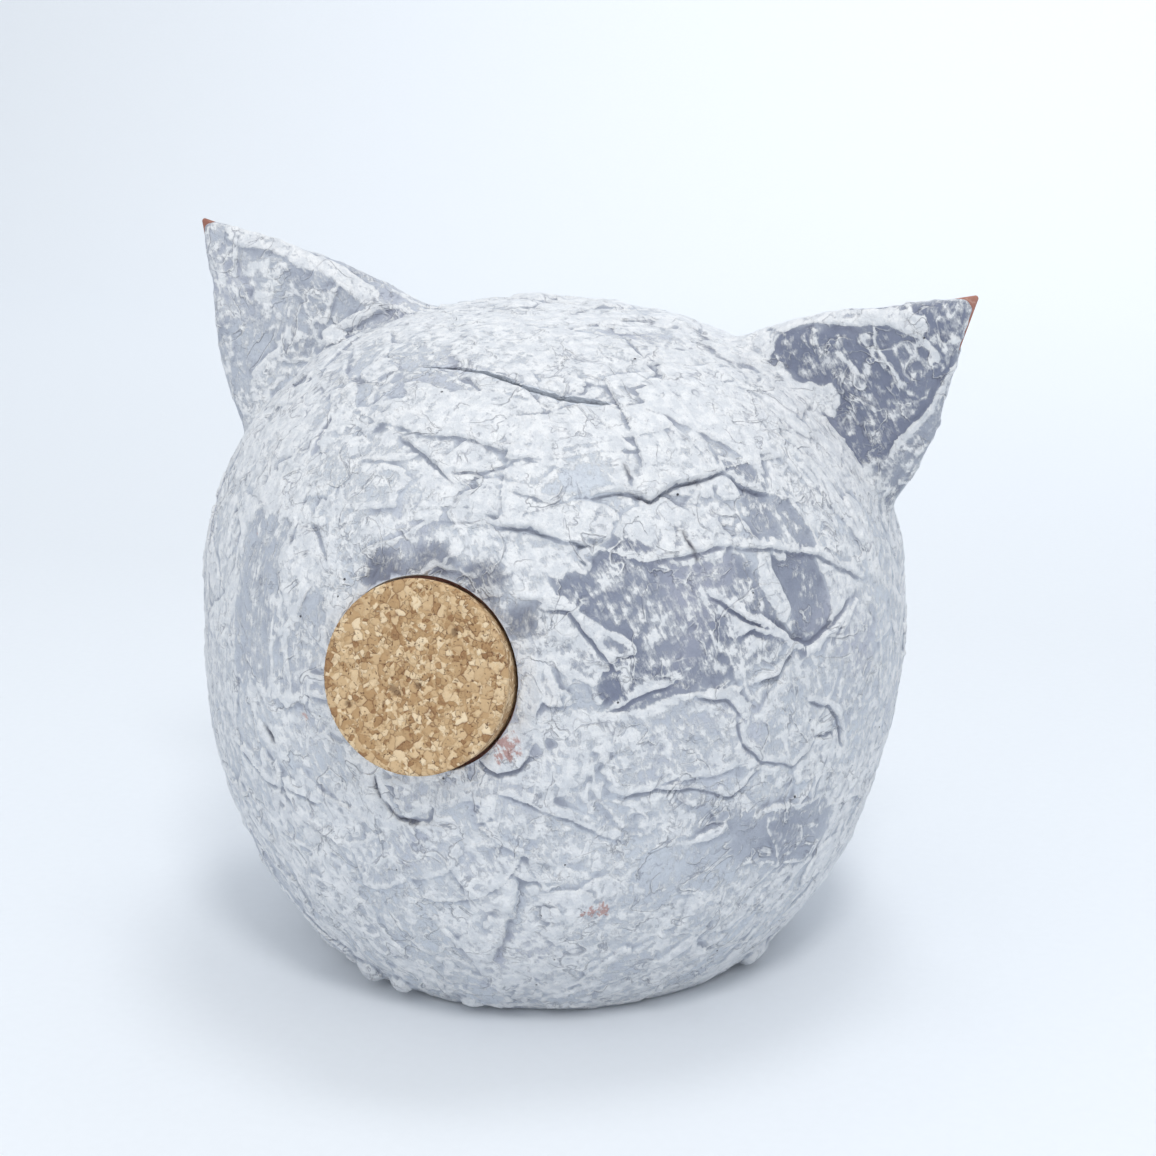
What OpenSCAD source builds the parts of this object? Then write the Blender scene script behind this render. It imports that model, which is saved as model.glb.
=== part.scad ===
// Cat-head money box: a hollow clay head on a flat foot, two clay ears,
// a trowelled plaster coat over all of it, a coin slot and a cork bung.
// Millimetres, +Z up. The origin is on the table, under the middle of the head's
// widest ring. The bung side faces -Y.

/* [Head] */
// Radius of the plastered head at its widest ring
head_r = 100; // [80:1:125]
// Height of the widest ring above the table
widest_z = 97.3; // [80:0.1:105]
// Rise from the widest ring to the crown
crown_rise = 86.8; // [70:0.1:110]
// Drop from the widest ring to where the lower curve would close
base_drop = 120; // [116:1:150]
// Fullness of the curve above the widest ring, where 2 is an ellipse
crown_fullness = 2.34; // [2:0.02:2.8]
// Fullness of the curve below the widest ring
base_fullness = 2.2; // [2:0.02:2.8]
// Lean of the head towards +X, in degrees
lean = 3.8; // [0:0.2:8]

/* [Clay] */
// Thickness of the clay wall
wall_t = 7; // [4:0.5:12]
// Thickness of the flat foot
foot_t = 8; // [5:0.5:14]

/* [Plaster] */
// Thickness of the coat on the head
coat_t = 3; // [2:0.25:6]
// Thickness of the coat on an ear
ear_coat_t = 2.25; // [1.5:0.25:4]
// Gap left between the coat's lower edge and the table
coat_lift = 0.5; // [0.25:0.25:4]

/* [Ears] */
// Height of the middle of an ear's clay tip above the plaster of the head
ear_rise = 51.4; // [35:0.2:65]
// Angle of an ear's tip above the widest ring, seen from the head's centre
tip_up = 42.5; // [38:0.5:47]
// Angle of the middle of an ear's outer edge
edge_out_up = 32.5; // [30:0.5:36]
// Height of the middle of the outer edge above the plaster
edge_out_rise = 19.2; // [15:0.2:24]
// Angle of the middle of an ear's upper edge
edge_in_up = 50.4; // [48:0.2:54]
// Height of the middle of the upper edge above the plaster
edge_in_rise = 22.5; // [18:0.5:27]
// Angle of an ear's outer root
root_out_up = 21; // [14:0.5:26]
// Angle of an ear's inner root
root_in_up = 64.5; // [58:0.5:70]
// How far the left ear's inner root, outer root and tip stand towards the bung side
left_forward = [-4, 14, 10]; // [-20:1:20]
// How far the right ear's inner root, outer root and tip stand towards the bung side
right_forward = [-10, -9, 1]; // [-20:1:20]
// Thickness of an ear's clay at its root
root_t = 11.5; // [8:0.5:18]
// Width of the slanting band along both edges of an ear
ear_bevel = 4; // [2:0.5:7]
// Radius of the clay's rounded corners and tip
corner_r = 0.8; // [0.4:0.1:2]
// Length of bare clay that stands out of the plaster at each tip
bare_tip = 1.6; // [0.6:0.2:6]

/* [Bung] */
// Diameter of the bung's outer face
bung_d = 48.6; // [36:0.2:60]
// Length of the bung
bung_len = 30; // [20:1:45]
// Loss of radius for each millimetre of length
bung_taper = 0.1; // [0.05:0.01:0.15]
// Width of the softened edge round each face
bung_edge = 0.8; // [0.3:0.1:2]
// Angle of the bung above the widest ring, seen from the head's centre
bung_up = 4.5; // [-5:0.5:15]
// Upward tilt of the bung's own axis, in degrees
bung_tilt = 13; // [0:1:20]
// How far the bung's face stands out of the plaster, measured on its axis
bung_proud = 4.4; // [2:0.2:8]
// Radial clearance between the bung and the clay
bung_fit = 0.06; // [0.02:0.01:0.3]
// Radial gap between the bung and the plaster round it
plaster_gap = 1; // [0.5:0.1:3]

/* [Coin slot] */
// Length of the slot
slot_len = 50; // [35:1:60]
// Width of the slot through the clay
slot_clay_w = 4.5; // [3:0.25:6]
// Width of the slot between the plaster lips
slot_lip_w = 2.4; // [1.8:0.1:5]
// Angle of the slot above the widest ring, seen from the head's centre
slot_up = 52; // [40:1:60]
// Angle above level at which the slot goes through the wall
slot_tilt = 62; // [50:1:75]
// Offset of the slot's middle towards +X
slot_x = 4; // [-10:1:10]
// Slope of the slot down towards +X, in degrees
slot_slope = 4.5; // [0:0.5:12]

/* [Hidden] */

clay = "peru";
plaster = "lightsteelblue";
cork = "burlywood";

bond = 0.1;                 // bond line between pieces that stay together
curve_step = 4;             // degrees between two points of the head's outline
ball_fn = 20;               // facets round an ear's corner
root_sink = 6.5;            // depth of the ears' root corners below the plaster
beyond = 20;                // length by which a cut runs past what it cuts
room = 2 * (head_r + crown_rise + base_drop + ear_rise);  // box that holds everything

// Outline of the head from the lower pole to the crown, taken in by inset.
function outline(inset) = [
    for (t = [-90 : curve_step : 90])
        let (power = t < 0 ? 2 / base_fullness : 2 / crown_fullness,
             height = t < 0 ? inset - base_drop : crown_rise - inset)
        [(head_r - inset) * pow(max(0, cos(t)), power), height * pow(abs(sin(t)), power)]
];

// Distance from the head's centre to the plaster in a direction up degrees above level.
function reach(up) = pow(pow(cos(up) / head_r, crown_fullness)
                         + pow(sin(up) / crown_rise, crown_fullness), -1 / crown_fullness);

// Point rise millimetres clear of the plaster in the ears' plane, moved towards -Y.
function ear_point(up, rise, forward) =
    [(reach(up) + rise) * cos(up), -forward, (reach(up) + rise) * sin(up)];

// The head's own frame: its centre is on the widest ring and it leans towards +X.
module in_head() {
    translate([0, 0, widest_z]) rotate([0, lean, 0]) children();
}

// A frame on the plaster on the bung side, with +Z outwards at tilt above level.
module on_plaster(x, up, tilt) {
    in_head()
        translate([x, -reach(up) * cos(up), reach(up) * sin(up)])
            rotate([90 - tilt, 0, 0])
                children();
}

// The solid head, taken in by inset.
module egg(inset) {
    in_head() rotate_extrude($fn = 180) polygon(outline(inset));
}

module above(z) {
    translate([-room / 2, -room / 2, z]) cube(room);
}

// The bung's cone, wider by gap, from in below the bung's face to out above it.
module bung_cone(gap, in, out) {
    on_plaster(0, bung_up, bung_tilt)
        translate([0, 0, bung_proud - in])
            cylinder(h = in + out, r1 = bung_d / 2 - bung_taper * in + gap,
                     r2 = bung_d / 2 + bung_taper * out + gap, $fn = 128);
}

module slot_cut(width) {
    straight = slot_len - width;
    on_plaster(slot_x, slot_up, slot_tilt) rotate([0, 0, -slot_slope]) {
        cube([straight, width, 2 * beyond], center = true);
        for (side = [-1, 1])
            translate([side * straight / 2, 0, 0])
                cylinder(h = 2 * beyond, r = width / 2, center = true, $fn = 48);
    }
}

// Three balls on a corner of an ear: one on its outline, and one on each face, spread
// apart and set in towards the ear's middle.
module ear_corner(at, middle, spread, r) {
    face = at + ear_bevel * (middle - at) / norm(middle - at);
    translate(at) sphere(r, $fn = ball_fn);
    for (side = [-1, 1])
        translate(face + [0, side * spread / 2, 0]) sphere(r, $fn = ball_fn);
}

// An ear on the +X side, its forward list as above, with its corners grown by grow and
// its tip cut back by short.
module ear_wedge(forward, grow, short) {
    r = corner_r + grow;
    spread = root_t - 2 * corner_r;
    inner = ear_point(root_in_up, -root_sink, forward[0]);
    outer = ear_point(root_out_up, -root_sink, forward[1]);
    tip = ear_point(tip_up, ear_rise - short, forward[2]);
    upper_edge = ear_point(edge_in_up, edge_in_rise, (forward[0] + forward[2]) / 2);
    outer_edge = ear_point(edge_out_up, edge_out_rise, (forward[1] + forward[2]) / 2);
    middle = (inner + outer + tip) / 3;
    hull() {
        ear_corner(inner, middle, spread, r);
        ear_corner(outer, middle, spread, r);
        ear_corner(upper_edge, middle, spread / 2, r);
        ear_corner(outer_edge, middle, spread / 2, r);
        translate(tip) sphere(r, $fn = ball_fn);
    }
}

// Side 0 is the left ear, towards -X, and side 1 the right ear.
module ear_solid(side, grow, short) {
    in_head() {
        if (side == 0) mirror([1, 0, 0]) ear_wedge(left_forward, grow, short);
        if (side == 1) ear_wedge(right_forward, grow, short);
    }
}

module ear_clay(side) {
    difference() {
        ear_solid(side, 0, 0);
        egg(coat_t - bond);
    }
}

module ear_plaster(side) {
    difference() {
        ear_solid(side, ear_coat_t, bare_tip + ear_coat_t);
        ear_solid(side, bond, 0);
        egg(-bond);
    }
}

module clay_shell() {
    color(clay) difference() {
        intersection() {
            egg(coat_t);
            above(0);
        }
        intersection() {
            egg(coat_t + wall_t);
            above(foot_t);
        }
        bung_cone(bung_fit, bung_len + beyond, beyond);
        slot_cut(slot_clay_w);
    }
}

module left_ear() {
    color(clay) ear_clay(0);
}

module right_ear() {
    color(clay) ear_clay(1);
}

module body_coat() {
    color(plaster) difference() {
        intersection() {
            egg(0);
            above(coat_lift);
        }
        egg(coat_t - bond);
        for (side = [0, 1])
            ear_solid(side, bond, 0);
        bung_cone(plaster_gap, bung_len + beyond, beyond);
        slot_cut(slot_lip_w);
    }
}

module left_ear_coat() {
    color(plaster) ear_plaster(0);
}

module right_ear_coat() {
    color(plaster) ear_plaster(1);
}

module cork_bung() {
    r = bung_d / 2;
    tail_r = r - bung_taper * bung_len;
    color(cork)
        on_plaster(0, bung_up, bung_tilt)
            translate([0, 0, bung_proud - bung_len])
                rotate_extrude($fn = 128)
                    polygon([[0, 0], [tail_r - bung_edge, 0],
                             [tail_r + bung_taper * bung_edge, bung_edge],
                             [r - bung_taper * bung_edge, bung_len - bung_edge],
                             [r - bung_edge, bung_len], [0, bung_len]]);
}

clay_shell();
left_ear();
right_ear();
body_coat();
left_ear_coat();
right_ear_coat();
cork_bung();
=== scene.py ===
"""Looks of a cat-head money box: a hollow clay head under a trowelled plaster coat with
dry-brushed paint, a coin slit on top and a cork bung. Metres, in the model's own frame."""

import math

import bpy
import numpy as np
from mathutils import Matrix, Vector
from mathutils.kdtree import KDTree


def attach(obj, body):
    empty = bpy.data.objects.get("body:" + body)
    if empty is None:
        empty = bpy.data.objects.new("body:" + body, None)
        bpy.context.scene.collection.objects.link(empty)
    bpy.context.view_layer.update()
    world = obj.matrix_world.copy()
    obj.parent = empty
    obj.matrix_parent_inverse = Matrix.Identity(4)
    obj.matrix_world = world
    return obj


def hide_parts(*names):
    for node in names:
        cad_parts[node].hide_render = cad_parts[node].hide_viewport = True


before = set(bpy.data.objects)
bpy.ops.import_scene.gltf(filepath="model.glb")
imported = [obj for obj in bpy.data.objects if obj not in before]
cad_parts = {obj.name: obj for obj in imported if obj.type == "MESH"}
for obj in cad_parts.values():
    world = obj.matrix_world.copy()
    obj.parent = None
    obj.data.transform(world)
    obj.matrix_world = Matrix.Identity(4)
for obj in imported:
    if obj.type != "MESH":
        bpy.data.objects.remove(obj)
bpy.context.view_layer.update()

MM = 0.001

# The head's form, in millimetres, as in the CAD model
HEAD_R = 100
WIDEST_Z = 97.3
CROWN_RISE = 86.8
BASE_DROP = 120
CROWN_FULLNESS = 2.34
BASE_FULLNESS = 2.2
LEAN = math.radians(3.8)
COAT_T = 3
EAR_COAT_T = 2.25

# The ears
EAR_RISE = 51.4
TIP_UP = 42.5
EDGE_OUT = (32.5, 19.2)
EDGE_IN = (50.4, 22.5)
ROOT_OUT_UP = 21
ROOT_IN_UP = 64.5
LEFT_FORWARD = (-4, 14, 10)
RIGHT_FORWARD = (-10, -9, 1)
ROOT_T = 11.5
EAR_BEVEL = 4
CORNER_R = 0.8
BARE_TIP = 1.6
ROOT_SINK = 6.5

# The bung
BUNG_D = 48.6
BUNG_LEN = 30
BUNG_TAPER = 0.1
BUNG_UP = 4.5
BUNG_TILT = 13
BUNG_PROUD = 4.4
BUNG_GAP = 0.9  # between the bung and the plaster

# The plaster's skin: its voxels, its most triangles, how many random strokes it gets, and
# how strongly and how far at most they move it
SKIN_VOXEL = 2.0
SKIN_TRIANGLES = 182000
STROKES = 620
EAR_STROKES = 70
STROKE_SEED = 20
RELIEF_GAIN = 1.4
RELIEF_MOST = 2.2
COAT_CREASE = 55
# Points of the skin that a stroke needs, and the cosine by which they face its way at least
FEWEST_POINTS = 20
FACING = 0.35
# How far a step beside a line reaches before it has sunk into the ground
STEP_FADE = 7.0
# Height over its surroundings that counts as one unit of crest
CREST_UNIT = 0.25
# How near an ear's root is to what the fillet moves
ROOT_NEAR = 7
# Gap between the coat and the clay under it
BOND = 0.1

# Lumps of plaster that stand out on the crown and the foot's rim: side, up and radius
LUMPS = ((-119, 79, 3.4), (-100, 80, 2.4), (-23, -55, 3.1), (-13, -54, 2.4),
         (77, -51, 3.0), (5, -53, 1.8), (-60, -52, 2.6), (120, -52, 3), (175, -53, 2.6),
         (-150, -52, 3.0), (84, 59, 2.6))

# The coin slit's middle line from its left end: side, up and half its width. Then how far
# it turns from level, and its top and floor from the plaster
SLIT = ((-22, 52, 0.15), (-14, 52.8, 0.45), (-4, 52.8, 0.6), (8, 50.6, 0.75),
        (16, 49.2, 1.0), (22, 48.3, 1.3), (26, 48, 1.3), (28, 48, 0.7))
SLIT_TURN = -14
SLIT_TOP = 3.0
SLIT_FLOOR = -6.0

# The cork: its voxels, its rounded edge, the size of its granules, how far one stands up or
# down, and the share that has fallen out
CORK_SEED = 5
CORK_VOXEL = 0.52
CORK_EDGE = 0.8
GRANULE = 2.3
GRANULE_LIFT = 0.05
GRANULES_LOST = 0.012
CORK_CREASE = 60

# The floor and its backdrop, in metres
FLOOR_WIDE = 16
FLOOR_DEEP = 9
FLOOR_BACK = -2.3
BACKDROP_RISE = 3.0
SWEEP_R = 0.9

# The camera, in degrees and metres
VIEW_SIDE = 19
VIEW_UP = 14.6
VIEW_AWAY = 0.6
VIEW_AIM = (0.00615, 0.00212, 0.10541)
VIEW_ANGLE = 31.10


# ---------------------------------------------------------------- places on the head

LEAN_TURN = np.array([[math.cos(LEAN), 0, math.sin(LEAN)], [0, 1, 0],
                      [-math.sin(LEAN), 0, math.cos(LEAN)]])


def head_to_row(points):
    """Points of the leaning head's own frame, in the model's frame."""
    return np.asarray(points, float) @ LEAN_TURN.T + (0, 0, WIDEST_Z)


def row_to_head(points):
    return (np.asarray(points, float) - (0, 0, WIDEST_Z)) @ LEAN_TURN


def reach(up, inset=0.0):
    """Distance from the head's centre to its plaster, up radians above the widest ring."""
    up = np.asarray(up, float)
    power = np.where(up >= 0, CROWN_FULLNESS, BASE_FULLNESS)
    rise = np.where(up >= 0, CROWN_RISE, BASE_DROP) - inset
    flat = np.abs(np.cos(up)) / (HEAD_R - inset)
    return (flat ** power + (np.abs(np.sin(up)) / rise) ** power) ** (-1 / power)


def off_head(points):
    """Points in the head's own frame, their angle above the widest ring in degrees, and how
    far each stands over the head's plaster."""
    head = row_to_head(points)
    up = np.degrees(np.arctan2(head[:, 2], np.hypot(head[:, 0], head[:, 1])))
    return head, up, np.linalg.norm(head, axis=1) - reach(np.radians(up))


def on_head(side, up, lift=0.0):
    """A point on the plaster and its outward direction. side is 0 degrees at the bung and
    90 towards +X, and up is measured from the widest ring."""
    a, b = math.radians(side), math.radians(up)
    way = np.array([math.sin(a) * math.cos(b), -math.cos(a) * math.cos(b), math.sin(b)])
    place = way * float(reach(b))
    power = CROWN_FULLNESS if b >= 0 else BASE_FULLNESS
    rise = CROWN_RISE if b >= 0 else BASE_DROP
    ring = math.hypot(place[0], place[1])
    round_part = (ring / HEAD_R) ** (power - 1) / HEAD_R
    tall_part = (abs(place[2]) / rise) ** (power - 1) / rise * (1 if b >= 0 else -1)
    out = np.array([place[0] / ring * round_part, place[1] / ring * round_part, tall_part])
    out /= np.linalg.norm(out)
    row = head_to_row(np.array([place + lift * out, place + (lift + 1) * out]))
    return row[0], row[1] - row[0]


def heading(out, turn):
    """Two directions along the surface: turn degrees up from level, seen from outside, and
    square to it."""
    level = np.cross((0, 0, 1), out)
    level /= max(np.linalg.norm(level), 1e-6)
    rise = np.cross(out, level)
    a = math.radians(turn)
    along = math.cos(a) * level + math.sin(a) * rise
    return along, np.cross(out, along)


# ---------------------------------------------------------------- work on meshes

def deselect():
    bpy.ops.object.select_all(action="DESELECT")


def made():
    """The piece made last, which is the active one."""
    return bpy.context.view_layer.objects.active


def mode(name):
    bpy.ops.object.mode_set(mode=name)


def select_only(piece):
    deselect()
    piece.select_set(True)
    bpy.context.view_layer.objects.active = piece


def settle(piece):
    """Puts a piece's place in its mesh."""
    select_only(piece)
    bpy.ops.object.transform_apply(location=True, rotation=True, scale=True)


def join(pieces, name):
    deselect()
    for piece in pieces:
        piece.select_set(True)
    bpy.context.view_layer.objects.active = pieces[0]
    bpy.ops.object.join()
    piece = made()
    piece.name = name
    piece.data.name = name
    settle(piece)
    return piece


def finish_with(piece, kind, **settings):
    """Adds a modifier and applies it."""
    select_only(piece)
    modifier = piece.modifiers.new(kind.lower(), kind)
    for key, value in settings.items():
        setattr(modifier, key, value)
    bpy.ops.object.modifier_apply(modifier=modifier.name)


def smooth(piece, crease):
    """Smooth shading, apart from edges sharper than crease degrees."""
    select_only(piece)
    bpy.ops.object.shade_smooth_by_angle(angle=math.radians(crease))


def give(piece, finish):
    """Gives a piece one material in place of what it has."""
    piece.data.materials.clear()
    piece.data.materials.append(finish)


def points_of(piece):
    flat = np.empty(len(piece.data.vertices) * 3, np.float32)
    piece.data.vertices.foreach_get("co", flat)
    return flat.reshape(-1, 3) / MM


def normals_of(piece):
    flat = np.empty(len(piece.data.vertices) * 3, np.float32)
    piece.data.vertex_normals.foreach_get("vector", flat)
    return flat.reshape(-1, 3)


def put_points(piece, points):
    piece.data.vertices.foreach_set("co", (points * MM).astype(np.float32).ravel())
    piece.data.update()


def put_attribute(piece, name, values):
    layer = piece.data.attributes.new(name, "FLOAT", "POINT")
    layer.data.foreach_set("value", np.asarray(values, np.float32))


def ball(place, r):
    bpy.ops.mesh.primitive_ico_sphere_add(
        subdivisions=2, radius=r * MM, location=tuple(np.asarray(place) * MM))
    return made()


def egg(inset, name):
    """The head's closed form, taken in by inset."""
    deselect()
    bpy.ops.mesh.primitive_uv_sphere_add(segments=128, ring_count=64, radius=1)
    piece = made()
    ways = points_of(piece) * MM
    ways /= np.linalg.norm(ways, axis=1)[:, None]
    up = np.arcsin(np.clip(ways[:, 2], -1, 1))
    put_points(piece, head_to_row(ways * reach(up, inset)[:, None]))
    piece.name = name
    return piece


def ear_point(up, rise, forward):
    """A point in an ear's plane, in the head's own frame."""
    a = math.radians(up)
    r = float(reach(a)) + rise
    return np.array([r * math.cos(a), -forward, r * math.sin(a)])


def ear_form(side, grow, short, name):
    """A bevelled three-cornered ear, made as the hull of balls at its corners. side is -1
    for the left ear and 1 for the right."""
    forward = LEFT_FORWARD if side < 0 else RIGHT_FORWARD
    r = CORNER_R + grow
    spread = ROOT_T - 2 * CORNER_R
    inner = ear_point(ROOT_IN_UP, -ROOT_SINK, forward[0])
    outer = ear_point(ROOT_OUT_UP, -ROOT_SINK, forward[1])
    tip = ear_point(TIP_UP, EAR_RISE - short, forward[2])
    upper = ear_point(*EDGE_IN, (forward[0] + forward[2]) / 2)
    lower = ear_point(*EDGE_OUT, (forward[1] + forward[2]) / 2)
    middle = (inner + outer + tip) / 3
    places = [tip]
    for corner, width in ((inner, spread), (outer, spread), (upper, spread / 2),
                          (lower, spread / 2)):
        face = corner + EAR_BEVEL * (middle - corner) / np.linalg.norm(middle - corner)
        places += [corner, face + (0, width / 2, 0), face - (0, width / 2, 0)]
    places = head_to_row(np.array(places) * (side, 1, 1))
    piece = join([ball(place, r) for place in places], name)
    mode("EDIT")
    bpy.ops.mesh.select_all(action="SELECT")
    bpy.ops.mesh.convex_hull()
    mode("OBJECT")
    return piece


def cut(piece, tool):
    """Takes tool away from piece, and removes tool."""
    finish_with(piece, "BOOLEAN", operation="DIFFERENCE", object=tool, solver="MANIFOLD")
    bpy.data.objects.remove(tool)


def cone(start, end, start_r, end_r, name):
    """A closed cone frustum between two points."""
    deselect()
    axis = Vector(end - start)
    turn = Vector((0, 0, 1)).rotation_difference(axis)
    bpy.ops.mesh.primitive_cone_add(
        vertices=160, radius1=start_r * MM, radius2=end_r * MM, depth=axis.length * MM,
        location=tuple((start + end) / 2 * MM), rotation=turn.to_euler())
    piece = made()
    piece.name = name
    settle(piece)
    return piece


def bung_axis():
    """The middle of the bung's outer face and its outward direction."""
    up, tilt = math.radians(BUNG_UP), math.radians(BUNG_TILT)
    r = float(reach(up))
    way = np.array([0, -math.cos(tilt), math.sin(tilt)])
    place = np.array([0, -r * math.cos(up), r * math.sin(up)])
    row = head_to_row(np.array([place + BUNG_PROUD * way, place + (BUNG_PROUD + 1) * way]))
    return row[0], row[1] - row[0]


# ---------------------------------------------------------------- plaster relief

def value_noise(points, size, seed):
    """Smooth noise from -1 to 1 with features of the given size, from a lattice of random
    values that repeats after side cells."""
    side = 32
    lattice = np.random.default_rng(seed).uniform(-1, 1, (side, side, side))
    lattice = lattice.astype(np.float32)
    q = points / size + 1000
    cell = np.floor(q).astype(np.int32)
    f = (q - cell).astype(np.float32)
    f = f * f * (3 - 2 * f)
    total = np.zeros(len(points), np.float32)
    for corner in np.ndindex(2, 2, 2):
        share = np.where(corner, f, 1 - f)
        at = (cell + corner) % side
        total += share[:, 0] * share[:, 1] * share[:, 2] * lattice[tuple(at.T)]
    return total


def line_over(marks):
    """The points of a line over the head through marks, which are (side, up) in degrees,
    and the outward direction at its middle."""
    path = np.array([on_head(side, up)[0] for side, up in marks])
    return path, on_head(*np.mean(np.array(marks), axis=0))[1]


def beside(points, path, out):
    """How far each point is from a path, the same with a sign that tells its sides apart,
    how far along the path it lies, and the path's length."""
    far = np.full(len(points), 1e9)
    signed = np.zeros(len(points))
    where = np.zeros(len(points))
    total = 0.0
    for a, b in zip(path[:-1], path[1:]):
        size = np.linalg.norm(b - a)
        run = (b - a) / size
        t = np.clip((points - a) @ run, 0, size)
        gap = points - a - t[:, None] * run
        dist = np.linalg.norm(gap, axis=1)
        nearer = dist < far
        far = np.where(nearer, dist, far)
        signed = np.where(nearer, np.sign(gap @ np.cross(out, run)) * dist, signed)
        where = np.where(nearer, total + t, where)
        total += size
    return far, signed, where, total


def waves(at, phases, *parts):
    """A sum of sine waves, each given as its height and its turns in radians per mm."""
    return sum(tall * np.sin(at * rate + phase) for (tall, rate), phase in zip(parts, phases))


class Relief:
    """The plaster, laid stroke by stroke over the points of a skin: its height in
    millimetres, and from 0 to 1 how white and how grey the paint is, which way it was
    brushed (run), where clay (bare) shows, and where it is darkened: painted shadow at
    the foot of lips and in cracks, and dark smudges of paint."""

    def __init__(self, points, normals, seed):
        self.points = points
        self.normals = normals
        self.rng = np.random.default_rng(seed)
        for name in ("height", "white", "tone", "run", "bare", "soot"):
            setattr(self, name, np.zeros(len(points), np.float32))

    def near(self, at, out, radius):
        gap = self.points - np.asarray(at, np.float32)
        index = np.nonzero(np.einsum("ij,ij->i", gap, gap) < radius * radius)[0]
        facing = self.normals[index] @ np.asarray(out, np.float32) > FACING
        index = index[facing]
        return index, gap[index]

    def stroke(self, at, out, turn, length, width, lift=0.2, lip=0.5, ragged=1.0,
               hold=0.85, white=None, tone=None, run=None):
        """One pull of the knife: a scraped flat with raised, broken lips round it."""
        index, gap = self.near(at, out, 0.5 * length + width)
        if len(index) < FEWEST_POINTS:
            return
        along, across = heading(out, turn)
        u = gap @ along
        v = gap @ across
        p = self.rng.uniform(0, 2 * math.pi, 12)
        u2 = u + ragged * waves(v, p, (1.4, 0.35), (0.7, 0.95), (0.3, 2.6))
        v2 = v + ragged * waves(u, p[3:], (1.2, 0.11), (0.5, 0.31), (0.12, 1.2))
        end = np.abs(u2) - 0.5 * length
        edge = np.maximum(end, np.abs(v2) - 0.5 * width + 0.3 * np.maximum(end + 3, 0))
        inside = np.clip(0.5 - edge / 0.9, 0, 1)
        share = 0.85 * np.clip(0.5 - edge / 3.0, 0, 1)
        if inside.sum() < 10:
            return
        h = self.height[index]
        level = np.average(h, weights=inside) + lift
        level = level + self.rng.uniform(-0.35, 0.35) * v / width
        level = level + self.rng.uniform(-0.35, 0.35) * u / length
        h = h + inside * hold * (level - h)
        gate = (0.25 + 0.55 * np.sin(u * 0.17 + p[6]) + 0.45 * np.sin(v * 0.4 + p[7])
                + 0.2 * np.sin((u - v) * 0.7 + p[8]))
        gate = np.clip(gate, 0, 1)
        crest = np.where(edge < 0, np.exp(np.minimum(edge, 0) / 0.9),
                         np.exp(-(edge / 0.45) ** 2))
        ditch = np.exp(-((edge - 1.0) / 0.6) ** 2)
        h = h + gate * (lip * crest - 0.12 * lip * ditch)
        self.height[index] = h
        self.paint(index, share, white=white, tone=tone, run=run)

    def paint(self, index, share, **looks):
        """Moves white, tone or run towards the value given for it, by share."""
        for name, value in looks.items():
            if value is not None:
                field = getattr(self, name)
                field[index] += share * (value - field[index])

    def line(self, marks, crest=0.5, width=0.7, step=0.0, upper=True, groove=0.3,
             white=None, soot=0.0, wander=0.22):
        """A raised or sunk line through marks. step lifts the ground on its upper or lower
        side, and groove sinks the other side's foot, which is also darkened with painted
        shadow."""
        path, out = line_over(marks)
        middle = path.mean(axis=0)
        around = np.linalg.norm(path - middle, axis=1).max() + 3 * STEP_FADE
        index, _ = self.near(middle, out, around)
        _, signed, where, total = beside(self.points[index].astype(float), path, out)
        p = self.rng.uniform(0, 2 * math.pi, 4)
        if path[-1][0] < path[0][0]:
            signed = -signed
        if not upper:
            signed = -signed
        signed = signed + wander * waves(where, p, (1.0, 0.4), (0.6, 1.1))
        ends = np.clip(np.minimum(where, total - where) / 3 + 0.25, 0, 1)
        body = 0.55 + 0.3 * np.sin(where * 0.33 + p[2]) + 0.15 * np.sin(where * 0.9 + p[3])
        ridge = np.where(signed > 0, np.exp(-(np.maximum(signed, 0) / (1.9 * width)) ** 1.5),
                         np.exp(-(signed / (0.45 * width)) ** 2))
        lifted = np.where(signed > 0, np.exp(-signed / STEP_FADE), 0)
        lifted = np.where(signed > -0.5, np.maximum(lifted, (signed + 0.5) * 2), 0).clip(0, 1)
        foot = np.exp(-((signed + 1.1 * width) / (0.7 * width)) ** 2)
        change = 1.5 * crest * ridge * body + step * lifted - groove * foot
        self.height[index] += (change * ends).astype(np.float32)
        if white is not None:
            mark = np.clip(ridge ** 2 * ends * body * 1.3, 0, 1)
            self.white[index] += mark * (white - self.white[index])
        # painted shadow along the line's foot
        if soot:
            self.soot[index] = np.maximum(self.soot[index], 0.7 * soot * foot * ends * body)

    def crack(self, marks, width, depth, soot=0.8):
        """A thin crack, darkened along its line with painted shade."""
        self.line(marks, crest=-depth, width=width, groove=0, wander=0.25)
        path, out = line_over(marks)
        index, _ = self.near(path.mean(axis=0), out, 40)
        far = beside(self.points[index].astype(float), path, out)[0]
        # painted shade inside the crack
        mark = np.exp(-(far / (width + 0.25)) ** 2)
        self.soot[index] = np.maximum(self.soot[index], soot * mark)

    def ear_place(self, side, inner, outer):
        """The point on the bung side of an ear that is inner of the way to its inner root
        and outer of the way to its outer root, from the tip, and its outward direction."""
        forward = LEFT_FORWARD if side < 0 else RIGHT_FORWARD
        corners = np.array([ear_point(ROOT_IN_UP, 0, forward[0]),
                            ear_point(ROOT_OUT_UP, 0, forward[1]),
                            ear_point(TIP_UP, EAR_RISE, forward[2])])
        spot = np.array([inner, outer, 1 - inner - outer]) @ corners - (0, 8, 0)
        spot = head_to_row(spot * (side, 1, 1))
        gap = np.linalg.norm(self.points - spot, axis=1) + 30 * (self.normals[:, 1] > -0.3)
        nearest = int(np.argmin(gap))
        return self.points[nearest].astype(float), self.normals[nearest].astype(float)

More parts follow.
